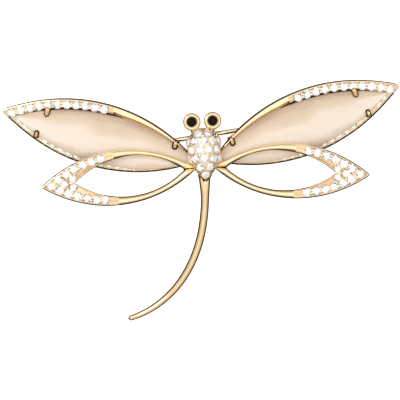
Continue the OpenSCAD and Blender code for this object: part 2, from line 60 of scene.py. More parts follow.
def circleThrough(p, q, s):
    ax, ay, bx, by = q[0] - p[0], q[1] - p[1], s[0] - p[0], s[1] - p[1]
    d = 2 * (ax * by - ay * bx)
    x = (by * (ax * ax + ay * ay) - ay * (bx * bx + by * by)) / d
    y = (ax * (bx * bx + by * by) - bx * (ax * ax + ay * ay)) / d
    return p[0] + x, p[1] + y, sqrt(x * x + y * y)


def blunted(edge, length, softness):  # the same edge with a rounded end in place of a sharp tip
    def at(u):
        left = max(0.0, length - u)
        return sqrt(edge(u) ** 2 + 2 * softness * left * exp(-left / 1.5))
    return at


def towardTip(start, length, count):  # stations that crowd together at the tip
    return [length - (length - start) * (1 - t) ** 2 for t in spread(0, 0.96, count)]


def spread(start, end, count):  # evenly spaced values, ends included
    return [start + (end - start) * i / (count - 1) for i in range(count)]


def mix(a, b, t):
    return a + (b - a) * t


# Places and turns
def shifted(x, y, z):
    return Matrix.Translation((x, y, z))


def turned(degrees, axis):
    return Matrix.Rotation(radians(degrees), 4, axis)


def facingAt(place, facing):  # moves to a place with z turned to a direction
    return Matrix.Translation(place) @ Vector((0, 0, 1)).rotation_difference(facing).to_matrix().to_4x4()


mirrored = Matrix.Diagonal((1, -1, 1, 1))


# Meshes from sections
def loft(sections):
    verts = [tuple(p) for ring in sections for p in ring]
    count = len(sections[0])
    faces = []
    for i in range(0, len(verts) - count, count):
        for k in range(count):
            j = (k + 1) % count
            faces.append((i + k, i + j, i + count + j, i + count + k))
    return verts, faces + [tuple(range(count - 1, -1, -1)), tuple(range(len(verts) - count, len(verts)))]


def lathe(profile, steps):  # profile of (radius, height), closed over the axis where a radius is 0
    verts, rings, faces = [], [], []
    for radius, height in profile:
        if radius < 1e-6:
            rings.append([len(verts)] * steps)
            verts.append((0.0, 0.0, height))
        else:
            rings.append([len(verts) + k for k in range(steps)])
            verts += [(radius * cos(tau * k / steps), radius * sin(tau * k / steps), height) for k in range(steps)]
    for a, b in zip(rings, rings[1:]):
        for k in range(steps):
            j = (k + 1) % steps
            face = list(dict.fromkeys((a[k], a[j], b[j], b[k])))
            if len(face) > 2:
                faces.append(tuple(face))
    return verts, faces


def moved(part, matrix):
    verts, faces = part
    out = [tuple(matrix @ Vector(v)) for v in verts]
    if matrix.to_3x3().determinant() < 0:
        faces = [tuple(reversed(f)) for f in faces]
    return out, faces


def flipped(part):
    return part[0], [tuple(reversed(f)) for f in part[1]]


def joined(parts):
    verts, faces = [], []
    for partVerts, partFaces in parts:
        base = len(verts)
        verts += partVerts
        faces += [tuple(base + i for i in f) for f in partFaces]
    return verts, faces


def newObject(name, data):
    obj = bpy.data.objects.new(name, data)
    bpy.context.scene.collection.objects.link(obj)
    return obj


def evaluated(obj):
    bpy.context.view_layer.update()
    return obj.evaluated_get(bpy.context.evaluated_depsgraph_get()).to_mesh()


def plate(outline, holes, low, high, bevel):  # a flat plate with round holes (u, v, radius) and softened edges
    curve = bpy.data.curves.new("plate", "CURVE")
    curve.dimensions = "2D"
    curve.fill_mode = "BOTH"
    curve.extrude = (high - low) / 2 - bevel
    curve.bevel_depth = bevel
    curve.bevel_resolution = 2
    curve.offset = -bevel
    for points in [outline] + [ringPoints(*hole) for hole in holes]:
        spline = curve.splines.new("POLY")
        spline.points.add(len(points) - 1)
        for point, (u, v) in zip(spline.points, points):
            point.co = (u, v, 0, 1)
        spline.use_cyclic_u = True
    bm = bmesh.new()
    bm.from_mesh(evaluated(newObject("plate", curve)))
    bmesh.ops.remove_doubles(bm, verts=bm.verts, dist=1e-4)
    bmesh.ops.dissolve_degenerate(bm, dist=1e-5, edges=bm.edges)
    bmesh.ops.recalc_face_normals(bm, faces=bm.faces)
    bm.verts.index_update()
    mid = (low + high) / 2
    verts = [(v.co.x, v.co.y, v.co.z + mid) for v in bm.verts]
    faces = [tuple(v.index for v in f.verts) for f in bm.faces]
    bm.free()
    bpy.data.curves.remove(curve)  # its object goes with it
    return verts, faces


def ringPoints(u, v, radius, count=24):
    return [(u + radius * cos(tau * k / count), v + radius * sin(tau * k / count)) for k in range(count)]


def cut(part, cutter):  # takes a closed cutter out of a closed part
    made = []
    for verts, faces in (part, cutter):
        mesh = bpy.data.meshes.new("cut")
        mesh.from_pydata(verts, [], faces)
        made.append(newObject("cut", mesh))
    modifier = made[0].modifiers.new("cut", "BOOLEAN")
    modifier.operation = "DIFFERENCE"
    modifier.solver = "EXACT"
    modifier.use_self = True
    modifier.object = made[1]
    mesh = evaluated(made[0])
    verts = [tuple(v.co) for v in mesh.vertices]
    faces = [tuple(p.vertices) for p in mesh.polygons]
    for obj in made:
        bpy.data.meshes.remove(obj.data)
    return verts, faces


def makeObject(name, part, material, slot="gold_metal", body="brooch", stands=(), sharp=35, uvs=None):
    verts, faces = part
    mesh = bpy.data.meshes.new(name)
    mesh.from_pydata([tuple(milli * c for c in v) for v in verts], [], faces)
    if uvs:
        layer = mesh.uv_layers.new(name="UVMap")
        for loop in mesh.loops:
            layer.data[loop.index].uv = uvs[loop.vertex_index]
    mesh.materials.append(material)
    for polygon in mesh.polygons:
        polygon.use_smooth = True
    mesh.set_sharp_from_angle(angle=radians(sharp))
    obj = newObject(name, mesh)
    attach(obj, body)
    if stands:
        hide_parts(*stands)
    return obj


# Where each stone of the frame sits: its middle at the girdle, the way it faces and its radius
def stonesOf(node):
    bm = bmesh.new()
    bm.from_mesh(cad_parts[node].data)
    bmesh.ops.remove_doubles(bm, verts=bm.verts, dist=1e-6)
    left = set(bm.verts)
    stones = []
    while left:
        island, front = [], [left.pop()]
        while front:
            vert = front.pop()
            island.append(vert)
            for edge in vert.link_edges:
                other = edge.other_vert(vert)
                if other in left:
                    left.remove(other)
                    front.append(other)
        points = np.array([v.co for v in island]) / milli
        middle = points.mean(0)
        axis = np.linalg.svd(points - middle)[2][2]
        if abs(((points - middle) @ axis).min()) < abs(((points - middle) @ axis).max()):
            axis = -axis
        heights = (points - middle) @ axis
        radials = np.linalg.norm(points - middle - np.outer(heights, axis), axis=1)
        girdle = heights[radials > 0.97 * radials.max()].min()
        stones.append((Vector(middle + axis * girdle), Vector(axis).normalized(), float(radials.max())))
    bm.free()
    return sorted(stones, key=lambda s: (round(s[0].x, 1), round(s[0].y, 1)))


crystalNodes = [row + side for row in ("wing_crystals_", "lower_crystals_") for side in sideOf] + ["body_crystals"]
stones = {node: stonesOf(node) for node in crystalNodes + ["eye_stone_right", "eye_stone_left"]}
eyePlace = stones["eye_stone_right"][0][0]
eyeY = eyePlace.y
print("stones found:", {node: len(found) for node, found in stones.items()})


# Shader groups
def makeGroup(name, inputs, outputs):
    group = bpy.data.node_groups.new(name, "ShaderNodeTree")
    for way, labels in (("INPUT", inputs), ("OUTPUT", outputs)):
        for label, kind in labels.items():
            group.interface.new_socket(name=label, in_out=way, socket_type="NodeSocket" + kind)
    return group, group.nodes.new("NodeGroupInput"), group.nodes.new("NodeGroupOutput")


def feed(tree, node, values):  # sets each input, or links it where the value is a socket
    for key, value in values.items():
        if isinstance(value, bpy.types.NodeSocket):
            tree.links.new(value, node.inputs[key])
        else:
            node.inputs[key].default_value = value


def mathNode(tree, operation, a, b, clamp=False):
    node = tree.nodes.new("ShaderNodeMath")
    node.operation = operation
    node.use_clamp = clamp
    feed(tree, node, {0: a, 1: b})
    return node.outputs[0]


def swing(tree, value, amount):  # a value of 0 to 1 spread evenly about nought
    return mathNode(tree, "MULTIPLY", mathNode(tree, "SUBTRACT", value, 0.5), amount)


def colorMix(tree, factor, a, b):
    node = tree.nodes.new("ShaderNodeMix")
    node.data_type = "RGBA"
    feed(tree, node, {0: factor, 6: a, 7: b})
    return node.outputs[2]


def colorRamp(tree, factor, stops, easing="LINEAR"):
    node = tree.nodes.new("ShaderNodeValToRGB")
    ramp = node.color_ramp
    ramp.interpolation = easing
    for i, (position, color) in enumerate(stops):
        element = ramp.elements[i] if i < 2 else ramp.elements.new(position)
        element.position = position
        element.color = (*color, 1)
    feed(tree, node, {"Fac": factor})
    return node.outputs["Color"]


def noise(tree, scale, detail, stretch=(1, 1, 1), source="Object"):
    coords = tree.nodes.new("ShaderNodeTexCoord")
    mapping = tree.nodes.new("ShaderNodeMapping")
    texture = tree.nodes.new("ShaderNodeTexNoise")
    feed(tree, mapping, {"Vector": coords.outputs[source], "Scale": stretch})
    feed(tree, texture, {"Vector": mapping.outputs["Vector"], "Scale": scale, "Detail": detail})
    return texture.outputs["Fac"]


# Polish: hairline marks and a faint unevenness in tone, as a plated surface has
def polishGroup():
    group, given, out = makeGroup("polish", {
        "Tone": "Color", "Shade": "Color", "Roughness": "Float", "Unevenness": "Float", "Grain": "Float"}, {
        "Color": "Color", "Roughness": "Float", "Height": "Float"})
    tone, shade, rough, unevenness, grain = [given.outputs[i] for i in range(5)]
    patches = noise(group, 260.0, 4.0)
    hairlines = noise(group, grain, 2.0, (1, 14, 14))
    amount = mathNode(group, "MULTIPLY", patches, unevenness)
    feed(group, out, {
        "Color": colorMix(group, amount, tone, shade),
        "Roughness": mathNode(group, "ADD", rough, swing(group, hairlines, 0.12), True),
        "Height": mathNode(group, "ADD", patches, mathNode(group, "MULTIPLY", hairlines, 0.4))})
    return group


polish = polishGroup()


def newMaterial(name):
    material = bpy.data.materials.new(name)
    material.use_nodes = True
    return material, material.node_tree, material.node_tree.nodes["Principled BSDF"]


def bumped(tree, height, strength, distance=0.00002):
    bump = tree.nodes.new("ShaderNodeBump")
    feed(tree, bump, {"Strength": strength, "Distance": distance, "Height": height})
    return bump.outputs["Normal"]


def goldMaterial(name, look):
    material, tree, shader = newMaterial(name)
    group = tree.nodes.new("ShaderNodeGroup")
    group.node_tree = polish
    tone, shade, rough, unevenness, grain, bump = look
    feed(tree, group, {"Tone": (*tone, 1), "Shade": (*shade, 1), "Roughness": rough, "Unevenness": unevenness,
                       "Grain": grain})
    color, finish, height = group.outputs
    feed(tree, shader, {"Metallic": 1.0, "Base Color": color, "Roughness": finish,
                        "Normal": bumped(tree, height, bump)})
    return material


goldLooks = {  # tone, shade of the patches, roughness, unevenness, grain and bump
    "polishedGold": ((1.0, 0.83, 0.54), (0.95, 0.7, 0.4), 0.1, 0.5, 1500.0, 0.05),
    # The claw gold is a darker, warmer copy of the gold: painted shade on the claws and on the rings round the black
    # stones
    "clawGold": ((1.0, 0.72, 0.4), (0.6, 0.32, 0.12), 0.16, 1.0, 1500.0, 0.1),
    "tailGold": ((0.9, 0.7, 0.42), (0.74, 0.5, 0.26), 0.12, 1.0, 1200.0, 0.08),
    "paveGold": ((0.98, 0.78, 0.52), (0.62, 0.4, 0.2), 0.34, 1.0, 2600.0, 0.3),
    # The body gold is a paler copy: painted light that lifts the dark reflections down the body's sides
    "bodyGold": ((1.0, 0.92, 0.76), (0.92, 0.72, 0.46), 0.42, 0.8, 2600.0, 0.2),
    # The near-black gold below colours strips and copies laid where shade falls: painted shade
    "paintedShadeGold": ((0.012, 0.008, 0.006), (0.05, 0.028, 0.014), 0.5, 0.8, 900.0, 0.1),
    "backGold": ((0.94, 0.7, 0.4), (0.8, 0.54, 0.28), 0.3, 0.8, 900.0, 0.2),
}
gold = {name: goldMaterial(name, look) for name, look in goldLooks.items()}


def goldPiece(name, look, parts, matrix=None, **more):
    part = joined(parts)
    makeObject(name, part if matrix is None else moved(part, matrix), gold[look], **more)


def catsEyeMaterial(look):
    material, tree, shader = newMaterial("catsEye")
    coords = tree.nodes.new("ShaderNodeTexCoord")
    split = tree.nodes.new("ShaderNodeSeparateXYZ")
    feed(tree, split, {0: coords.outputs["UV"]})
    fibres = noise(tree, look["fibreScale"], 4.0, look["fibreStretch"], "UV")
    clouds = noise(tree, 3.0, 2.0, (1.5, 0.8, 1), "UV")
    drifted = mathNode(tree, "ADD", split.outputs["Y"], swing(tree, clouds, look["drift"]))
    place = mathNode(tree, "ADD", drifted, swing(tree, fibres, look["streaks"]))
    # The colour across the stone carries a painted sheen and painted shade over the stone's own peach tones
    feed(tree, shader, {
        "Base Color": colorRamp(tree, place, look["bands"], "EASE"), "Normal": bumped(tree, fibres, look["bump"]),
        "Roughness": mathNode(tree, "ADD", look["roughness"], mathNode(tree, "MULTIPLY", fibres, 0.15)),
        **look["shader"]})
    return material


catsEyeLook = {
    "fibreScale": 38.0, "fibreStretch": (0.22, 4.0, 1), "roughness": 0.34, "streaks": 0.36, "drift": 0.35,
    "bump": 0.04,
    # Bands from the lower edge (0) to the upper (1): the peach tones are the stone's own, the bright cream band near
    # the lower middle is a painted sheen, and the darkening towards the edges, most at the upper one, is painted shade
    "bands": [(0.0, (0.76, 0.6, 0.46)), (0.22, (0.97, 0.84, 0.72)), (0.5, (0.94, 0.79, 0.66)),
              (0.78, (0.76, 0.59, 0.43)), (1.0, (0.53, 0.37, 0.25))],
    "shader": {"IOR": 1.5, "Coat Weight": 0.6, "Coat Roughness": 0.04, "Subsurface Weight": 0.25,
               "Subsurface Radius": (1.0, 0.7, 0.5), "Subsurface Scale": 0.0008},
}


def crystalMaterial(look):
    material, tree, shader = newMaterial("crystal")
    fire = tree.nodes.new("ShaderNodeAttribute")  # painted brightness of each facet, a random stand-in for how much light it sends back
    fire.attribute_name = "fire"
    glow = colorRamp(tree, fire.outputs["Fac"], look["fire"])
    feed(tree, shader, {
        "Base Color": glow, "Emission Color": glow,
        "Roughness": mathNode(tree, "MULTIPLY", noise(tree, 2500.0, 1.0), look["wear"]), **look["shader"]})
    return material


crystalLook = {  # the emission stands for light that comes back from inside a stone
    "wear": 0.06,
    # The facet colours: painted dark reflections, greys, whites and a warm reflection of the gold
    "fire": [(0.0, (0.12, 0.1, 0.12)), (0.12, (0.5, 0.46, 0.52)), (0.3, (0.95, 0.93, 0.97)), (0.8, (1, 1, 1)),
             (1.0, (0.88, 0.66, 0.4))],
    "shader": {"IOR": 2.0, "Metallic": 0.3, "Coat Weight": 1.0, "Coat Roughness": 0.01, "Coat IOR": 2.0,
               "Emission Strength": 0.22},
}


def blackStoneMaterial(look):
    material, tree, shader = newMaterial("blackStone")
    feed(tree, shader, {"Base Color": colorMix(tree, noise(tree, 1200.0, 2.0), *look["tints"]), **look["shader"]})
    return material


blackStoneLook = {
    "tints": [(0.002, 0.002, 0.002, 1), (0.008, 0.007, 0.009, 1)],
    "shader": {"Roughness": 0.03, "IOR": 1.45, "Specular IOR Level": 0.12},
}


catsEye = catsEyeMaterial(catsEyeLook)
crystal = crystalMaterial(crystalLook)
blackStone = blackStoneMaterial(blackStoneLook)
print("materials made")


# The upper wing
wing = {
    "length": 32.8, "riseTop": 5.35, "riseLow": 5.1, "rootX": 1.3, "rootY": -6.4,
    "turn": 18.6, "droop": 4.5, "pitch": 6.0, "plate": 0.9, "top": 1.8, "backing": 0.45,
    "rimFull": 1.8, "lowRim": 0.86, "stoneGap": 0.1, "slabStart": 0.046, "stoneStart": 0.08, "stoneEnd": 0.942,
    "rimShares": [(0.08, 0.14), (0.5, 0.88), (0.91, 1.0)],
    "paveStart": 15.0, "barTop": 1.15, "barLow": 1.38, "bevel": 0.07, "seatGap": 0.04, "seatSoft": 0.05,
    "sunk": 0.24, "draft": 0.05, "inset": 0.13, "lip": 0.32, "lipSoft": 0.2, "lipRise": 0.06, "innerLip": 0.07,
    "lowLip": {"width": 0.26, "rise": 0.08, "soft": 0.16, "draft": 0.14}, "tipSoft": 0.26, "tipFrom": 29.0,
    "rootTop": 1.3,
    # The groove: the rim draws back from the stone; the near-black strips in it reach from low to high and are painted
    # shade
    "groove": {"from": 13.4, "to": 28.6, "width": 0.42, "low": 1.2, "high": 1.56},
    # A near-black strip along the lower edge, its half width, bottom and top: painted shade under the wing
    "edgeShadeHalf": 0.1, "edgeShadeLow": 0.1, "edgeShadeHigh": 0.7,
}
lensTop, lensFall = [arcEdge(wing["length"], wing[rise]) for rise in ("riseTop", "riseLow")]
wingTop, wingFall = [blunted(edge, wing["length"], wing["tipSoft"]) for edge in (lensTop, lensFall)]


def wingLow(u):
    return -wingFall(u)


def stoneEdge(edge, full):  # the circle through three points that lie shares of the full rim inside an edge
    x, y, radius = circleThrough(*[(s * wing["length"], edge(s * wing["length"]) - share * full)
                                   for s, share in wing["rimShares"]])
    sign = 1 if full > 0 else -1
    return lambda u: y + sign * sqrt(radius ** 2 - (u - x) ** 2)


stoneTop = stoneEdge(lensTop, wing["rimFull"])
stoneLow = stoneEdge(lambda u: -lensFall(u), -wing["lowRim"])
stone = {"seat": 0.2, "edge": 0.4, "dome": 0.6, "longRadius": 150.0, "round": 0.14, "steps": 72, "across": 22}
halfWidth = (stoneTop(wing["length"] / 2) - stoneLow(wing["length"] / 2)) / 2
stoneMid = (stoneTop(wing["length"] / 2) + stoneLow(wing["length"] / 2)) / 2
stone["crossRadius"] = arcRadius(2 * halfWidth, stone["dome"])
stone["base"] = wing["plate"] + stone["seat"]
stone["peak"] = stone["base"] + stone["edge"] + stone["dome"]


def stoneTopW(u, v):
    return (stone["peak"] - (u - wing["length"] / 2) ** 2 / (2 * stone["longRadius"])
            - (v - stoneMid) ** 2 / (2 * stone["crossRadius"]))


def wingFrame(side):
    place = (shifted(wing["rootX"], 0, wing["length"] * sin(radians(wing["droop"]))) @ turned(wing["turn"], "Z")
             @ turned(wing["droop"], "Y") @ turned(wing["pitch"], "X"))
    return shifted(0, eyeY + wing["rootY"], 0) @ Matrix.Diagonal((sideOf[side], 1, 1, 1)) @ place


def planeStones(node, matrix):  # stones in a wing's own plane
    back = matrix.inverted()
    return [(*(back @ middle), radius) for middle, _, radius in stones[node]]


def lensLoft(stations, low, high, bevel, lowEdge, topEdge):
    sections = []
    for u in stations:
        a, b = lowEdge(u), topEdge(u)
        soft = min(bevel, (b - a) * 0.3)
        sections.append([(u, a + soft, low), (u, a, low + soft), (u, a, high - soft), (u, a + soft, high),
                         (u, b - soft, high), (u, b, high - soft), (u, b, low + soft), (u, b - soft, low)])
    return loft(sections)


def roundOver(inset, high, soft):  # a quarter round at the top of an edge
    return [(inset + soft * (1 - cos(t)), high - soft * (1 - sin(t))) for t in spread(0, pi / 2, 6)]


def barSection(u, outer, inner, low, high):  # flat bright top at the outer edge, then a long slope inwards
    width = outer - inner
    flat = min(wing["barTop"], width * 0.72)
    slopeLow = mix(high, wing["barLow"], min(1.0, (width - flat) / 0.3))
    crease = min(0.07, width * 0.08)
    shape = [(0, low)] + roundOver(min(wing["draft"], width * 0.12), high, min(wing["lipSoft"], width * 0.25))
    shape += [(flat - crease, high + 0.02), (flat, high - crease), (flat + crease, mix(high, slopeLow, 0.5)),
              (width - crease, slopeLow), (width, slopeLow - crease), (width, low)]
    return [(u, outer - across, w) for across, w in shape]


# A claw: a rounded prong that comes up beside the stone, bends over its edge and lies on the dome
claws = [
    # cut: how far the painted shadow under a claw spreads past the claw
    {"share": 0.12, "side": 1, "reach": 0.8, "width": 0.66, "thick": 0.5, "back": 0.45, "cut": 0.44},
    {"share": 0.78, "side": 1, "reach": 1.05, "width": 0.84, "thick": 0.56, "back": 0.4, "cut": 0.26},
    {"share": 0.805, "side": -1, "reach": 0.62, "width": 0.58, "thick": 0.5, "back": 0.4, "cut": 0.36},
]


clawForm = {  # heights, bend and taper that all claws share, and the near-black copy under each claw, which is painted shadow
    "root": 0.6, "crest": 0.9, "bend": 0.34, "bendFrom": 0.3, "clear": 0.04, "sink": 0.32, "fall": 1.6, "tilt": 0.35,
    "tipFrom": 0.84, "tipWide": 0.84, "tipThick": 0.8, "hollow": 0.3, "hollowHalf": 0.5, "hollowTo": 0.9, "sides": 16,
    "shadowThick": 0.55, "shadowReach": 0.6,
}


def claw(spec, hollow=clawForm["hollow"]):
    form = clawForm
    u = spec["share"] * wing["length"]
    edge = stoneTop(u) if spec["side"] > 0 else stoneLow(u)
    lean = -spec["side"]
    start = edge - lean * spec["back"]
    crest = stoneTopW(u, edge) + spec["thick"] * form["crest"]
    knee = crest - form["bendFrom"]
    course = [(start, mix(wing["plate"] * form["root"], knee, t), 0.0) for t in spread(0, 1, 5)]
    for t in spread(0.12, 1, 7):
        turn = t * pi / 2
        course.append((start + lean * form["bend"] * (1 - cos(turn)), knee + form["bend"] * sin(turn), turn))
    base = course[-1]
    for t in spread(0.15, 1, 7):
        v = base[0] + lean * t * spec["reach"]
        drop = (crest + form["clear"]) - (stoneTopW(u, v) + spec["thick"] * form["sink"])
        course.append((v, base[1] - max(0.0, drop) * t ** form["fall"], pi / 2 + form["tilt"] * t))
    sections = []
    for i, (v, w, turn) in enumerate(course):
        t = i / (len(course) - 1)
        taper = sqrt(max(0.02, 1 - max(0.0, (t - form["tipFrom"]) / (1 - form["tipFrom"])) ** 2))
        wide = spec["width"] * mix(1.0, form["tipWide"], t) * taper / 2
        thick = spec["thick"] * mix(1.0, form["tipThick"], t) * taper / 2
        ring = []
        for k in range(form["sides"]):
            a = tau * k / form["sides"]
            out = thick * sin(a)
            if out > 0 and t <= form["hollowTo"]:
                out -= thick * hollow * max(0.0, 1 - abs(cos(a)) / form["hollowHalf"])
            ring.append((u + wide * cos(a), v - lean * cos(turn) * out, w + sin(turn) * out))
        sections.append(ring)
    part = loft(sections)
    return part if spec["side"] > 0 else flipped(part)


bead = {
    "radius": 0.21, "rise": 0.16, "sink": 0.34, "sides": 10, "near": 1.42, "apart": 0.36, "beside": 0.75,
    "clear": 0.35, "largest": 0.42, "least": 0.12,
}


def beadPart(place, facing, radius, rise):
    profile = [(0, -bead["sink"]), (radius, -bead["sink"]), (radius, rise * 0.2), (radius * 0.86, rise * 0.66),
               (radius * 0.5, rise * 0.93), (0, rise)]
    return moved(lathe(profile, bead["sides"]), facingAt(place, facing))


def beadsBetween(found):  # small metal beads that hold neighbouring stones
    places = []
    for i, (a, facingA, ra) in enumerate(found):
        for b, facingB, rb in found[i + 1:]:
            gap = (b - a).length
            if gap > bead["near"] * (ra + rb):
                continue
            facing = (facingA + facingB).normalized()
            aside = facing.cross((b - a).normalized())
            reach = sqrt(max(0.04, ((ra + rb) / 2 + bead["radius"] * bead["beside"]) ** 2 - gap * gap / 4))
            places += [((a + b) / 2 + aside * reach * s, facing) for s in (1, -1)]
    kept = []
    for place, facing in places:
        if any((place - c).length < r + bead["radius"] * bead["clear"] for c, f, r in found):
            continue
        if all((place - other).length > bead["apart"] for other, _ in kept):
            kept.append((place, facing))
    return kept


def beadsAmong(found):  # the largest bead that fits between each three neighbouring stones
    kept = []
    for a, b, c in combinations(found, 3):
        middle = (a[0] + b[0] + c[0]) / 3
        facing = (a[1] + b[1] + c[1]).normalized()
        away = [(middle - place).length - radius for place, _, radius in (a, b, c)]
        if max(away) > bead["largest"]:
            continue
        radius = min([*away, bead["largest"]]) - 0.01
        if radius > bead["least"] and all((middle - other).length > radius + r for other, _, r in kept):
            kept.append((middle, facing, radius))
    return kept


def ribbon(path, halves, low, high):  # a flat strip with upright sides along a path of (x, y)
    sections = []
    for i, (x, y) in enumerate(path):
        a, b = path[max(0, i - 1)], path[min(len(path) - 1, i + 1)]
        run = sqrt((b[0] - a[0]) ** 2 + (b[1] - a[1]) ** 2)
        nx, ny = (a[1] - b[1]) / run * halves[i], (b[0] - a[0]) / run * halves[i]
        sections.append([(x + s * nx, y + s * ny, z) for s, z in ((-1, low), (-1, high), (1, high), (1, low))])
    return loft(sections)


def lip(us, edge, sign, width, low, high, soft, draft=0.0):  # runs inside an edge, which is an upper one at sign 1
    shape = [(0, low)] + roundOver(draft, high, soft)
    shape += [(max(draft + soft + 0.01, width - 0.04), high), (width, high - 0.05), (width, low)]
    sections = []
    for u in us:
        slope = (edge(u + 0.01) - edge(u - 0.01)) / 0.02
        run = sqrt(1 + slope * slope)
        nu, nv = sign * slope / run, -sign / run
        sections.append([(u + nu * a, edge(u) + nv * a, w) for a, w in shape])
    part = loft(sections)
    return part if sign > 0 else flipped(part)


def upperWing(side):
    matrix = wingFrame(side)
    length, plateTop, inset = wing["length"], wing["plate"], wing["inset"]
    found = planeStones("wing_crystals_" + side, matrix)
    topRow = [(u, v, r + wing["seatGap"]) for u, v, w, r in found if w > plateTop + 0.4]
    lowRow = [(u, v, r + wing["seatGap"]) for u, v, w, r in found if w <= plateTop + 0.4]
    tip = wing["tipFrom"]  # grows until the rim round the stone meets the lower edge
    while stoneTop(tip) + wing["stoneGap"] > wingLow(tip) and tip < length - 0.2:
        tip += 0.02

    def innerTop(u):
        return wingTop(u) - inset

    def innerLow(u):
        return wingLow(u) + inset

    inner = towardTip(0.5, length - inset, 90)
    backing = lensLoft(inner, 0, wing["backing"], wing["bevel"], innerLow, innerTop)
    lens = [(u, innerTop(u)) for u in inner] + [(u, innerLow(u)) for u in reversed(inner)]
    floor = plate(lens, lowRow, wing["backing"] - 0.05, plateTop, wing["seatSoft"])
    groove = wing["groove"]

    def rimInner(u):  # the rim draws back from the stone along the groove
        share = min(1.0, max(0.0, (u - groove["from"]) / (groove["to"] - groove["from"])))
        return stoneTop(u) + max(wing["stoneGap"], groove["width"] * sin(pi * share) ** 0.4)

    start = wing["paveStart"]
    rim = ([(u, innerTop(u)) for u in towardTip(start, length - inset, 60)]
           + [(u, innerLow(u)) for u in reversed(towardTip(tip, length - inset, 16))]
           + [(u, rimInner(u)) for u in spread(tip - 0.05, start, 50)])
    pave = plate(rim, topRow, plateTop - 0.1, wing["top"] - wing["sunk"], wing["seatSoft"])
    rootTop = lensLoft(spread(0.12, wing["slabStart"] * length - 0.1, 16), plateTop - 0.1, wing["rootTop"],
                       wing["bevel"], wingLow, wingTop)
    bar = loft([barSection(u, wingTop(u), rimInner(u), 0.02, wing["top"])
                for u in spread(wing["stoneStart"] * length - 1.2, start + 0.1, 60)])
    outerLip = (wing["lip"], 0.02, wing["top"] + wing["lipRise"], wing["lipSoft"], wing["draft"])
    low = wing["lowLip"]
    lips = [lip(towardTip(start, length, 60), wingTop, 1, *outerLip),
            lip(spread(start, tip - 0.1, 60), rimInner, -1, wing["innerLip"], plateTop, wing["top"] - 0.02, 0.05),
            lip(towardTip(0.6, length, 90), wingLow, -1, low["width"], 0.02, plateTop + low["rise"], low["soft"],
                low["draft"]),
            lip(towardTip(length - 1.2, length, 16), wingLow, -1, *outerLip)]
    # Near-black strips in the groove under the rim and along the wing's lower edge: painted shade
    dark = [lip(spread(a, b, 60), stoneTop, -1, groove["width"] + 0.1, plateTop - 0.05, high, 0.02)
            for a, b, high in ((groove["from"], start, groove["low"]), (start - 0.05, groove["to"], groove["high"]))]
    us = towardTip(0.6, length - 0.1, 90)
    dark.append(ribbon([(u, wingLow(u)) for u in us], [wing["edgeShadeHalf"]] * len(us), wing["edgeShadeLow"], wing["edgeShadeHigh"]))
    # Near-black copies of the claws, wider and flatter, lie under them as painted shadow
    clawShadows = [claw(dict(spec, width=spec["width"] + spec["cut"], thick=spec["thick"] * clawForm["shadowThick"],
                      reach=spec["reach"] + spec["cut"] * clawForm["shadowReach"]), hollow=0) for spec in claws]
    goldPiece("wing_bar_" + side, "polishedGold", [bar] + lips, matrix, stands=["metal_frame"])
    goldPiece("wing_claws_" + side, "clawGold", [claw(spec) for spec in claws], matrix)
    goldPiece("claw_shadows_" + side, "paintedShadeGold", clawShadows, matrix)
    goldPiece("wing_painted_shade_" + side, "paintedShadeGold", dark, matrix)
    goldPiece("wing_back_" + side, "backGold", [backing, rootTop], matrix)
    goldPiece("wing_seats_" + side, "paveGold", [floor, pave], matrix)


def catsEyeSlab(side):
    start, end, base = wing["slabStart"] * wing["length"], wing["stoneEnd"] * wing["length"], stone["base"]
    sections, uvs = [], []
    for u in spread(start, end, stone["steps"]):
        a, b = stoneTop(u), stoneLow(u)
        topA, topB, soft = stoneTopW(u, a), stoneTopW(u, b), min(stone["round"], (a - b) * 0.2)
        ring = [(b, base, 0.0), (a, base, 1.0), (a, topA - soft, 1.0), (a - soft * 0.3, topA - soft * 0.3, 1.0)]
        ring += [(v, stoneTopW(u, v), (v - b) / max(0.01, a - b)) for v in spread(a - soft, b + soft, stone["across"])]
        ring += [(b + soft * 0.3, topB - soft * 0.3, 0.0), (b, topB - soft, 0.0)]
        sections.append([(u, v, w) for v, w, _ in ring])
        uvs += [((u - start) / (end - start), share) for _, _, share in ring]
    makeObject("cats_eye_stone_" + side, moved(loft(sections), wingFrame(side)), catsEye, "cats_eye",
               stands=["cats_eye_" + side], sharp=50, uvs=uvs)


for side in sideOf:
    upperWing(side)
    catsEyeSlab(side)
print("upper wings made")


# The lower wing
loop = {
    "length": 25.6, "rise": 4.5, "openStart": 2.1, "openLength": 17.95, "openRise": 3.2, "rootX": 1.3,
    "rootY": -7.5, "turn": {"right": 6.5, "left": 3.5}, "droop": 1.5, "thick": 1.3, "rowRise": 0.05,
    "paveStart": 15.5, "bevel": 0.06, "barTop": (0.2, 0.66), "sunk": 0.2, "tipSoft": 0.12, "draft": 0.14,
    "innerLip": 0.13, "lipRise": 0.03, "beadStep": 0.32, "edgeGrain": (0.15, 0.16), "grainIn": 0.26,
    "patch": (13.2, 15.6), "patchHigh": 0.86, "patchRows": (0.14, 0.5, 0.86), "patchGrain": (0.14, 0.17),
    # The corner below: a near-black wedge where the two bars meet at the root, painted shade in the crease
    "corner": {"from": 1.3, "to": 2.2, "half": 0.05, "endHalf": 0.16, "high": 0.8},
}
loopEdge = blunted(arcEdge(loop["length"], loop["rise"]), loop["length"], loop["tipSoft"])
openEdge = arcEdge(loop["openLength"], loop["openRise"], loop["openStart"])
openEnd = loop["openStart"] + loop["openLength"]


def loopFrame(side):
    droop = radians(loop["droop"])
    flat = shifted(0, eyeY + loop["rootY"], 0) @ (
        Matrix.Diagonal((sideOf[side], 1, 1, 1)) @ shifted(loop["rootX"], 0, 0)
        @ turned(-loop["turn"][side], "Z") @ turned(loop["droop"], "Y"))
    back = flat.inverted()
    rowHeights = [(back @ middle).z for middle, _, _ in stones["lower_crystals_" + side]]
    lift = sum(rowHeights) / len(rowHeights) - loop["thick"] - loop["rowRise"]
    return flat @ shifted(-lift * sin(droop), 0, lift * cos(droop))


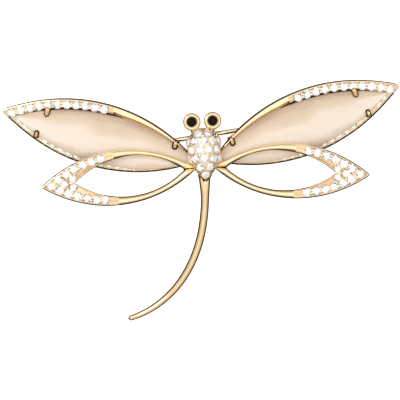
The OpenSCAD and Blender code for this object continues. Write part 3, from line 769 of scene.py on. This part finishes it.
def loopBarSection(u, sign):  # across a bar of the loop, whose bright top lies between two shares of its width
    outer = loopEdge(u)
    inner = openEdge(u) if loop["openStart"] < u < openEnd else -0.02
    width = max(0.03, outer - inner)
    high = loop["thick"]
    inPatch = loop["patch"][0] < u < loop["patch"][1]
    soft = min(0.1, width * 0.25)
    draft = min(loop["draft"], width * 0.12)
    shape = [(0, soft * 0.6), (0, high * 0.3)]
    topStart, topEnd = loop["barTop"]
    for t in (0.02, 0.06, 0.12, 0.2, 0.32, 0.46, 0.6, 0.7, 0.78, 0.86, 0.93, 0.98):
        if t < topStart:
            w = high * (0.5 + 0.44 * sqrt(1 - (1 - t / topStart) ** 2))
        elif t < topEnd:
            w = high * (0.94 + 0.06 * sin(pi * (t - topStart) / (topEnd - topStart)))
        else:
            w = high * (0.4 + 0.54 * (1 - ((t - topEnd) / (1 - topEnd)) ** 1.7))
        if inPatch:
            w = min(w, high * loop["patchHigh"])
        shape.append((mix(draft, width, t), w))
    shape += [(width, high * 0.4), (width, soft * 0.6), (width - soft, 0), (soft, 0)]
    return [(u, sign * (outer - across), w) for across, w in shape]


def loopGrains(found):  # grains on the engraved patches, and along the opening where no stone is in the way
    up = Vector((0, 0, 1))
    first, last = loop["patch"]
    grains = []
    for sign in (1, -1):
        u = first + 0.3
        while u < last - 0.15:
            for share in loop["patchRows"]:
                place = Vector((u, sign * mix(loopEdge(u), openEdge(u), share), loop["thick"] * loop["patchHigh"]))
                grains.append(beadPart(place, up, *loop["patchGrain"]))
            u += loop["beadStep"]
        u = last + 0.15
        while u < openEnd - 0.3:
            place = Vector((u, sign * (openEdge(u) + loop["grainIn"]), loop["thick"] - loop["sunk"]))
            if all((place.xy - Vector((a, b))).length > r + 0.05 for a, b, _, r in found):
                grains.append(beadPart(place, up, *loop["edgeGrain"]))
            u += loop["beadStep"]
    return grains


def lowerWing(side):
    matrix = loopFrame(side)
    found = planeStones("lower_crystals_" + side, matrix)
    start, length, inset = loop["paveStart"], loop["length"], wing["inset"]
    first, last = loop["patch"]
    us = spread(0.1, first, 60) + spread(first + 0.04, last - 0.04, 12) + [last + 0.1]
    bars = [loft([loopBarSection(u, 1) for u in us]), flipped(loft([loopBarSection(u, -1) for u in us]))]
    outer = towardTip(start, length - inset, 50)
    field = ([(u, loopEdge(u) - inset) for u in outer] + [(u, inset - loopEdge(u)) for u in reversed(outer)]
             + [(u + 0.05, -openEdge(u) - 0.06) for u in spread(start, openEnd, 16)]
             + [(u + 0.05, openEdge(u) + 0.06) for u in spread(openEnd, start, 16)])
    seats = plate(field, [(u, v, r + wing["seatGap"]) for u, v, _, r in found], 0.35, loop["thick"] - loop["sunk"],
                  loop["bevel"])
    back = plate(field, [], 0.0, 0.4, loop["bevel"])
    high = loop["thick"] * loop["patchHigh"]
    bed = loft([[(u, mix(loopEdge(u), openEdge(u), share), high + rise)
                 for share, rise in ((0.16, -0.1), (0.16, 0.02), (0.88, 0.02), (0.88, -0.1))]
                for u in spread(first + 0.1, last, 12)])
    lipTop = loop["thick"] + loop["lipRise"]
    lips = [lip(towardTip(start, length, 50), loopEdge, 1, wing["lip"], 0.02, lipTop, wing["lipSoft"], loop["draft"]),
            lip(spread(start, openEnd - 0.15, 20), openEdge, -1, loop["innerLip"], 0.02, lipTop, 0.1, 0.04)]
    lips += [moved(strip, mirrored) for strip in lips]
    # A near-black wedge where the bars meet: painted shade
    corner = loop["corner"]
    path = [(u, 0) for u in spread(corner["from"], corner["to"], 6)]
    dark = ribbon(path, spread(corner["half"], corner["endHalf"], 6), 0.3, corner["high"])
    goldPiece("lower_bars_" + side, "polishedGold", bars + lips, matrix)
    goldPiece("lower_seats_" + side, "paveGold", [seats, back, bed, moved(bed, mirrored)], matrix)
    goldPiece("lower_grains_" + side, "polishedGold", loopGrains(found), matrix)
    goldPiece("lower_root_shade_" + side, "paintedShadeGold", [dark], matrix)


for side in sideOf:
    lowerWing(side)
print("lower wings made")


# The body: an egg turned about its long axis, flat at the back, with a seat drilled for each crystal
body = {
    "radius": 2.75, "wide": 4.0, "top": 1.1, "point": 9.7, "topWidth": 0.75, "backZ": 2.2,
    "lift": 0.3, "steps": 72, "stations": 40, "seatGap": 0.03, "seatTop": 0.06, "beadLift": 0.06,
    "grain": 0.15, "grainStep": 0.4, "grainLeans": (-72, -56, -40, -22, 0, 22, 40, 56, 72),
}
loopRootZ = (loopFrame("right") @ Vector((0, 0, 0))).z
body["axisZ"] = loopRootZ + body["lift"]
lowPart = arcRadius(2 * (body["point"] - body["wide"]), body["radius"])
topPart = arcRadius(2 * (body["wide"] - body["top"]), body["radius"] - body["topWidth"])


def bodyHalf(y):
    part = lowPart if y > body["wide"] else topPart
    return sqrt(max(0.0, part * part - (y - body["wide"]) ** 2)) - part + body["radius"]


def edgeGrains():  # small grains down both sides of the body, where no stone is in the way
    grains = []
    y = body["top"] + 0.12
    while y < body["point"] - 0.2:
        slope = (bodyHalf(y + 0.05) - bodyHalf(y - 0.05)) / 0.1
        for lean in body["grainLeans"]:
            x, z, half = sin(radians(lean)), cos(radians(lean)), bodyHalf(y)
            place = Vector((half * x, eyeY - y, body["axisZ"] + half * z))
            facing = Vector((x, slope, z)).normalized()
            near = [(place - middle).length - radius for middle, _, radius in stones["body_crystals"]]
            if min(near) > body["grain"] * 0.8:
                grains.append(beadPart(place, facing, body["grain"], body["grain"] * 0.8))
        y += body["grainStep"]
    return grains


def bodyPiece():
    profile = [(0.0, -body["point"])]
    for t in spread(1, 0, body["stations"]):
        y = mix(body["top"], body["point"] - 0.02, t)
        profile.append((bodyHalf(y), -y))
    profile.append((0.0, -body["top"]))
    part = moved(lathe(profile, body["steps"]), shifted(0, eyeY, body["axisZ"]) @ turned(-90, "X"))
    corners = [(-4, eyeY - 12), (4, eyeY - 12), (4, eyeY + 2), (-4, eyeY + 2)]
    cutters = [loft([[(x, y, z) for x, y in corners] for z in (-4, body["backZ"])])]  # all below the flat back
    for middle, facing, radius in stones["body_crystals"]:
        edge = radius + body["seatGap"]
        top = edge + body["seatTop"]
        seat = [(0, -0.42), (0.14, -0.42), (edge, 0.0), (edge, 0.04), (top, 0.2), (top, 0.9), (0, 0.9)]
        cutters.append(moved(lathe(seat, 24), facingAt(middle, facing)))
    for cutter in cutters:
        part = cut(part, cutter)
    beads = [beadPart(place + facing * body["beadLift"], facing, radius * 0.95, radius * 0.8)
             for place, facing, radius in beadsAmong(stones["body_crystals"])] + edgeGrains()
    print("body beads:", len(beads))
    goldPiece("body_metal", "bodyGold", [part], sharp=30)
    goldPiece("body_beads", "polishedGold", beads, sharp=30)


bodyPiece()
print("body made")


# The wings' beads
for side in sideOf:
    beads = []
    for node in ("wing_crystals_", "lower_crystals_"):
        places = beadsBetween(stones[node + side])
        beads += [beadPart(place, facing, bead["radius"], bead["rise"]) for place, facing in places]
    beads += [beadPart(place, facing, radius * 0.8, radius * 0.5)
              for place, facing, radius in beadsAmong(stones["lower_crystals_" + side])]
    goldPiece("setting_beads_" + side, "polishedGold", beads)


# Cut stones: a round brilliant with table, stars, kites, girdle facets and a pavilion
cutStone = {
    "crown": 0.3, "girdle": 0.06, "pavilion": 0.6, "table": 0.56, "star": 0.77, "half": 0.25, "lean": 5.0,
    "grow": 1.09, "blackGrow": 0.995, "tableFire": (0.3, 0.95),
}


def brilliant(radius):
    shape = cutStone
    crown, girdle = (shape["crown"] + shape["girdle"]) * radius, shape["girdle"] * radius
    slope = (crown - girdle) / (radius - shape["table"] * radius)
    eighth = tau / 8

    def corners(r, count, first, z):
        return [(r * cos((first + i * 8 / count) * eighth), r * sin((first + i * 8 / count) * eighth), z)
                for i in range(count)]

    starR, halfR = shape["star"] * radius, shape["half"] * radius
    starZ = girdle + slope * (radius - starR * cos(eighth / 2))
    halfZ = -shape["pavilion"] * (radius - halfR * cos(eighth / 2))
    verts = (corners(shape["table"] * radius, 8, 0, crown) + corners(starR, 8, 0.5, starZ)
             + corners(radius, 16, 0, girdle) + corners(radius, 16, 0, 0) + corners(halfR, 8, 0.5, halfZ)
             + [(0, 0, -shape["pavilion"] * radius)])
    faces = [tuple(range(8))]
    for i in range(8):
        j, before = (i + 1) % 8, (i - 1) % 8
        a, b, c = 16 + 2 * i, 16 + 2 * i + 1, 16 + (2 * i + 2) % 16
        faces += [(i, 8 + i, j), (i, 8 + before, a, 8 + i), (8 + i, a, b), (8 + i, b, c)]
        d, e, f = a + 16, b + 16, c + 16
        faces += [(a, d, e, b), (b, e, f, c), (d, 48 + i, e), (e, 48 + i, f), (d, 48 + before, 56, 48 + i)]
    return verts, faces


def stonePiece(name, node, material, slot, rng, grow):
    parts = []
    for middle, facing, radius in stones[node]:
        lean = turned(rng.uniform(0, cutStone["lean"]), Vector((cos(rng.uniform(0, tau)), 1, 0)))
        spin = Matrix.Rotation(rng.uniform(0, tau), 4, "Z")
        parts.append(moved(brilliant(radius * grow), facingAt(middle, facing) @ lean @ spin))
    obj = makeObject(name, joined(parts), material, slot, stands=[node])
    # Each facet gets a random painted brightness: painted glints and dark reflections, with the tables kept bright
    fire = obj.data.attributes.new("fire", "FLOAT", "FACE")
    for polygon, value in zip(obj.data.polygons, fire.data):
        polygon.use_smooth = False
        table = len(polygon.vertices) == 8
        value.value = rng.uniform(*cutStone["tableFire"]) if table else rng.random()


rng = random.Random(7)
for node in crystalNodes:
    stonePiece(node.replace("crystals", "brilliants"), node, crystal, "crystal", rng, cutStone["grow"])
for side in sideOf:
    stonePiece("black_stone_" + side, "eye_stone_" + side, blackStone, "black_stone", rng, cutStone["blackGrow"])
print("stones cut")


# Eyes: round settings on stalks
eye = {
    "outer": 1.425, "height": 2.4, "stoneGap": 0.03, "soft": 0.38, "ridge": 1.0, "mouth": 0.75, "dip": 0.12,
    "rise": 0.24, "bevel": 0.13, "cup": 0.86, "cupMiddle": 0.9, "stalkX": 0.85, "stalkY": 2.55, "stalkZ": 0.85,
    "stalk": [(0, 0), (0.95, 0), (0.9, 0.6), (0.74, 1.1), (0.72, 1.5), (0.8, 2.0)],
}
eye["bottomZ"] = eyePlace.z - eye["height"]
eye["stone"] = stones["eye_stone_right"][0][2]


def eyeSettings():
    parts, bevels = [], []
    outer, high, soft, mouth = eye["outer"], eye["height"] + eye["rise"], eye["soft"], eye["mouth"]
    inner, brim = eye["stone"] + eye["stoneGap"], high - eye["dip"]
    profile = [(0, 0), (outer - 0.25, 0), (outer - 0.08, 0.06), (outer, 0.22), (outer, high - soft - 0.05)]
    profile += [(outer - soft * (1 - cos(t)), high - soft * (1 - sin(t))) for t in spread(0.15, pi / 2, 8)]
    profile += [(eye["ridge"] + 0.05, high), (eye["ridge"], high - 0.02), (mouth + 0.02, brim), (mouth, brim - 0.02),
                (inner, eye["height"]), (inner, high - eye["cup"]), (0, high - eye["cupMiddle"])]
    ring = [(mouth, high - 0.5), (mouth + eye["bevel"], high - 0.5), (mouth + eye["bevel"], high - 0.02),
            (mouth + 0.03, brim + 0.02), (mouth, brim), (mouth, high - 0.5)]
    for side, sign in sideOf.items():
        x, y, _ = stones["eye_stone_" + side][0][0]
        place = shifted(x, y, eye["bottomZ"])
        parts.append(moved(lathe(profile, 64), place))
        bevels.append(moved(lathe(ring, 64), place))
        start = Vector((x, y, eye["bottomZ"] + eye["stalkZ"]))
        way = Vector((sign * eye["stalkX"], eyeY - eye["stalkY"], start.z)) - start
        waist = eye["stalk"] + [(0.8, way.length), (0, way.length)]
        parts.append(moved(lathe(waist, 32), facingAt(start, way)))
    goldPiece("eye_settings", "polishedGold", parts)
    # The rings round the black stones take the darker claw gold: painted brown shade round each stone
    goldPiece("eye_bevels", "clawGold", bevels)


eyeSettings()
print("eyes made")


# The tail: a curved, tapering rod with a crease that runs into the V under the body
tail = {
    "length": 29.1, "topY": 8.6, "endTurn": 78.5, "startTurn": 0.5, "power": 1.5, "x": -0.2,
    "rootW": 2.1, "midW": 1.36, "endW": 0.86, "neck": 0.17, "taper": 2.5, "lift": 0.5, "steps": 88, "sides": 28,
    "crease": 0.55, "creaseEnd": 0.1, "creaseHalf": 0.42, "creaseFall": 1.2,
    # The vee values: half width, start and depth of the near-black strip round the body's point, painted shade
    "vee": 0.07, "veeFrom": 0.9, "veeDeep": 0.6,
}


def tailTurn(t):
    return radians(mix(tail["startTurn"], tail["endTurn"], t ** tail["power"]))


def tailWidth(t):
    if t < tail["neck"]:
        return mix(tail["rootW"], tail["midW"], sin(pi / 2 * t / tail["neck"]))
    return mix(tail["midW"], tail["endW"], ((t - tail["neck"]) / (1 - tail["neck"])) ** tail["taper"])


def tailPiece():
    x, y = tail["x"], eyeY - tail["topY"]
    step = tail["length"] / tail["steps"]
    rootZ = wing["length"] * sin(radians(wing["droop"])) + tail["lift"]
    endZ = tail["endW"] / 2
    sections = []
    for n in range(tail["steps"] + 1):
        t = n / tail["steps"]
        if n:
            turn = tailTurn((n - 0.5) / tail["steps"])
            x -= step * sin(turn)
            y -= step * cos(turn)
        turn = tailTurn(t)
        left = (1 - t) * tail["length"]
        width = tailWidth(t)
        height = min(width, tail["midW"])
        if left < width / 2:  # the rounded end
            width, height = [d * sqrt(max(0.02, 1 - (1 - left / (d / 2)) ** 2)) for d in (width, height)]
        z = endZ + (rootZ - endZ) * (0.5 + 0.5 * cos(pi * t))
        depth = tail["crease"] * max(0.0, 1 - t / tail["creaseEnd"]) ** tail["creaseFall"]
        ring = []
        for k in range(tail["sides"]):
            a = tau * (k + 0.5) / tail["sides"]
            across, up = width / 2 * cos(a), height / 2 * sin(a)
            if up > 0:
                up -= depth * max(0.0, 1 - abs(across) / tail["creaseHalf"])
            ring.append((x + across * cos(turn), y - across * sin(turn), z + up))
        sections.append(ring)
    goldPiece("tail_rod", "tailGold", [flipped(loft(sections))], sharp=45)
    # A near-black V strip round the body's point, over the tail's root: painted shade where the body meets the tail
    point = body["point"]
    path = [(-bodyHalf(y) - 0.05, eyeY - y - 0.06) for y in spread(point - tail["veeFrom"], point, 12)]
    path = path + [(0, path[-1][1] - 0.06)] + [(-x, y) for x, y in reversed(path)]
    top = rootZ + tail["midW"] / 2 + 0.1
    goldPiece("tail_vee_shade", "paintedShadeGold", [ribbon(path, [tail["vee"]] * len(path), top - tail["veeDeep"], top)])


tailPiece()
print("tail made")


# Behind: posts between the wings, the hinge, the catch and the pin
pin = {
    "y": 2.3, "z": 1.0, "turn": 5.5, "hingeX": 8.5, "catchX": 10.4, "eye": 1.5, "eyeThick": 0.9,
    "rivet": 0.6, "rivetGap": 0.06, "head": [(0, 0), (0.42, 0), (0.4, 0.04), (0.26, 0.09), (0, 0.11)],
    "ear": 0.6, "earWidth": 1.2, "earGap": 0.12, "catchLength": 2.6, "catchWall": 0.5, "catchGap": 0.15,
    "ground": 0.25, "bevel": 0.07, "wire": 0.7, "neck": 0.5, "neckLength": 1.3, "pointLength": 2.2, "point": 0.12,
    "pointGap": 0.15, "post": 0.7, "postEdge": 0.08, "postIn": 0.95,
}


def pinPlace(x):
    return Vector((x, eyeY - pin["y"] + x * sin(radians(pin["turn"])) / cos(radians(pin["turn"])), pin["z"]))


def pinFrame(place):
    return Matrix.Translation(place) @ turned(pin["turn"], "Z")


def backZ(place):  # height of an upper wing's back over a place
    matrix = wingFrame("right" if place.x > 0 else "left")
    origin, normal = matrix @ Vector((0, 0, 0)), matrix.to_3x3() @ Vector((0, 0, 1))
    return origin.z - (normal.x * (place.x - origin.x) + normal.y * (place.y - origin.y)) / normal.z


def postPlace(side):  # where the lower wing's outer bar crosses under the upper wing's edge
    outer, inner = loopFrame(side), wingFrame(side)

    def barAt(u):
        return outer @ Vector((u, loopEdge(u) - pin["postIn"], 0))

    def miss(u):
        x, y, _ = barAt(u)
        local = inner.inverted() @ Vector((x, y, (inner @ Vector((u, 0, 0))).z))
        return abs(local.y - wingLow(local.x) - pin["postEdge"] - pin["post"] / 2)

    return barAt(min(spread(10, 22, 600), key=miss))


def posts():
    parts = []
    for side in sideOf:
        top = postPlace(side)
        low = backZ(top) + wing["plate"] / 2
        r, high = pin["post"] / 2, top.z - low + 0.2
        post = lathe([(0, 0), (r * 1.15, 0), (r, 0.25), (r, high), (0, high)], 24)
        parts.append(moved(post, shifted(top.x, top.y, low)))
    return parts


def hinge():
    place = pinPlace(-pin["hingeX"])
    frameAt, top = pinFrame(place), backZ(place) + wing["plate"] / 2 - pin["z"]
    half, thick, out = pin["earWidth"] / 2, pin["ear"], pin["eyeThick"] / 2 + pin["earGap"]
    outline = [(half * cos(a), half * sin(a)) for a in spread(pi, tau, 24)] + [(half, top), (-half, top)]
    parts = []
    for sign in (1, -1):
        ear = plate(outline, [], -thick / 2, thick / 2, pin["bevel"])
        parts.append(moved(ear, frameAt @ shifted(0, sign * (out + thick / 2), 0) @ turned(90, "X")))
        parts.append(moved(lathe(pin["head"], 24),
                           frameAt @ shifted(0, sign * (out + thick), 0) @ turned(-90 * sign, "X")))
    r, reach = pin["rivet"] / 2, out + thick / 2
    rivet = lathe([(0, -reach), (r, -reach), (r, reach), (0, reach)], 32)
    return parts + [moved(rivet, frameAt @ turned(90, "X"))]


def catch():
    place = pinPlace(pin["catchX"])
    wall, r = pin["catchWall"], pin["wire"] / 2 + pin["catchGap"]
    wide, low, top = r + wall, pin["ground"] - pin["z"], backZ(place) + wing["plate"] / 2 - pin["z"]
    trough = ([(-wide, low), (-r, low)] + [(-r * cos(a), r * sin(a)) for a in spread(0, pi, 24)]
              + [(r, low), (wide, low), (wide, top), (-wide, top)])
    block = [(-wide, low), (wide, low), (wide, top), (-wide, top)]
    matrix = pinFrame(place) @ turned(90, "Z") @ turned(90, "X") @ Matrix.Diagonal((1, 1, -1, 1))
    return [moved(plate(outline, [], start, end, pin["bevel"]), matrix)
            for outline, start, end in ((trough, wall - 0.02, pin["catchLength"]), (block, 0, wall + 0.02))]


def pinStem():
    place = pinPlace(-pin["hingeX"])
    length = (pinPlace(pin["catchX"]) - place).length - pin["catchWall"] - pin["pointGap"]
    r, neck, start = pin["wire"] / 2, length - pin["pointLength"], pin["eye"] / 2 - 0.3
    profile = [(0, start), (mix(pin["neck"] / 2, r, start / pin["neckLength"]), start), (r, pin["neckLength"]),
               (r, neck)]
    for t in spread(0.1, 1, 12):
        profile.append((mix(r, pin["point"] / 2, 1 - (1 - t) ** 0.85), neck + t * pin["pointLength"] * 0.985))
    profile += [(pin["point"] / 4, length - 0.008), (0, length)]
    wire = moved(lathe(profile, 32), turned(90, "Y"))
    outer, hole, half = pin["eye"] / 2, pin["rivet"] / 2 + pin["rivetGap"], pin["eyeThick"] / 2
    edge = [(hole, 0.05), (hole + 0.05, 0), (outer - 0.1, 0), (outer - 0.03, 0.03), (outer, 0.1)]
    ring = [(x, z - half) for x, z in edge] + [(x, half - z) for x, z in reversed(edge)] + [(hole, 0.05 - half)]
    goldPiece("pin_wire", "polishedGold", [wire, moved(lathe(ring, 48), turned(90, "X"))], pinFrame(place),
              body="pin", stands=["pin_stem"])


goldPiece("hinge_and_catch", "backGold", posts() + hinge() + catch())
pinStem()
print("fittings and pin made")


# Floor, light and camera
# The floor shows evenly bright to the camera; in the metal it reflects dark brown, a painted dark reflection that
# gives the gold dark edges
stage = {"size": 3.0, "floor": (0.93, 0.93, 0.93, 1), "paintedReflection": (0.1, 0.06, 0.042, 1), "glow": 0.85}


def makeFloor():
    half = stage["size"] / 2
    mesh = bpy.data.meshes.new("studio_floor")
    mesh.from_pydata([(-half, -half, 0), (half, -half, 0), (half, half, 0), (-half, half, 0)], [], [(0, 1, 2, 3)])
    material, tree, shader = newMaterial("studioFloor")
    path = tree.nodes.new("ShaderNodeLightPath")
    feed(tree, shader, {
        "Roughness": 0.9, "Specular IOR Level": 0.0, "Emission Strength": stage["glow"],
        # Dark brown in glossy rays only: painted reflection
        "Base Color": colorMix(tree, path.outputs["Is Glossy Ray"], stage["floor"], stage["paintedReflection"]),
        "Emission Color": colorMix(tree, path.outputs["Is Camera Ray"], (0, 0, 0, 1), (1, 1, 1, 1))})
    mesh.materials.append(material)
    newObject("studio_floor", mesh)


light = {  # brightness against the height over the horizon, as its sine, and the lamps
    "bands": [(0.0, 0.04), (0.1, 0.1), (0.26, 0.5), (0.5, 0.62), (0.8, 0.68), (0.93, 1.0)], "strength": 1.3,
    "lamps": [("soft_left", (-0.25, 0.2, 0.5), 0.2, 0.6)],
}


def makeLight():
    world = bpy.data.worlds.new("studio")
    bpy.context.scene.world = world
    world.use_nodes = True
    tree = world.node_tree
    coords = tree.nodes.new("ShaderNodeTexCoord")
    split = tree.nodes.new("ShaderNodeSeparateXYZ")
    feed(tree, split, {0: coords.outputs["Generated"]})
    sky = colorRamp(tree, split.outputs["Z"], [(at, (v, v * 0.99, v * 0.97)) for at, v in light["bands"]])
    feed(tree, tree.nodes["Background"], {"Color": sky, "Strength": light["strength"]})
    for name, place, size, power in light["lamps"]:
        lamp = bpy.data.lights.new(name, "AREA")
        lamp.shape = "DISK"
        lamp.size = size
        lamp.energy = power
        obj = newObject(name, lamp)
        obj.location = place
        obj.rotation_euler = (-Vector(place)).to_track_quat("-Z", "Y").to_euler()


camera = {"width": 0.06522, "centre": (-0.00117, 0.000498), "focus": 0.003, "turn": -3.61, "distance": 0.7,
          "sensor": 36.0}


def makeCamera():
    data = bpy.data.cameras.new("camera")
    data.sensor_width = camera["sensor"]
    data.lens = camera["sensor"] * camera["distance"] / camera["width"]
    data.clip_start = 0.01
    data.clip_end = 10
    obj = newObject("camera", data)
    obj.location = (*camera["centre"], camera["distance"] + camera["focus"])
    obj.rotation_euler = (0, 0, radians(camera["turn"]))
    bpy.context.scene.camera = obj


makeFloor()
makeLight()
makeCamera()
bpy.context.scene.view_settings.view_transform = "Standard"
print("stage made")
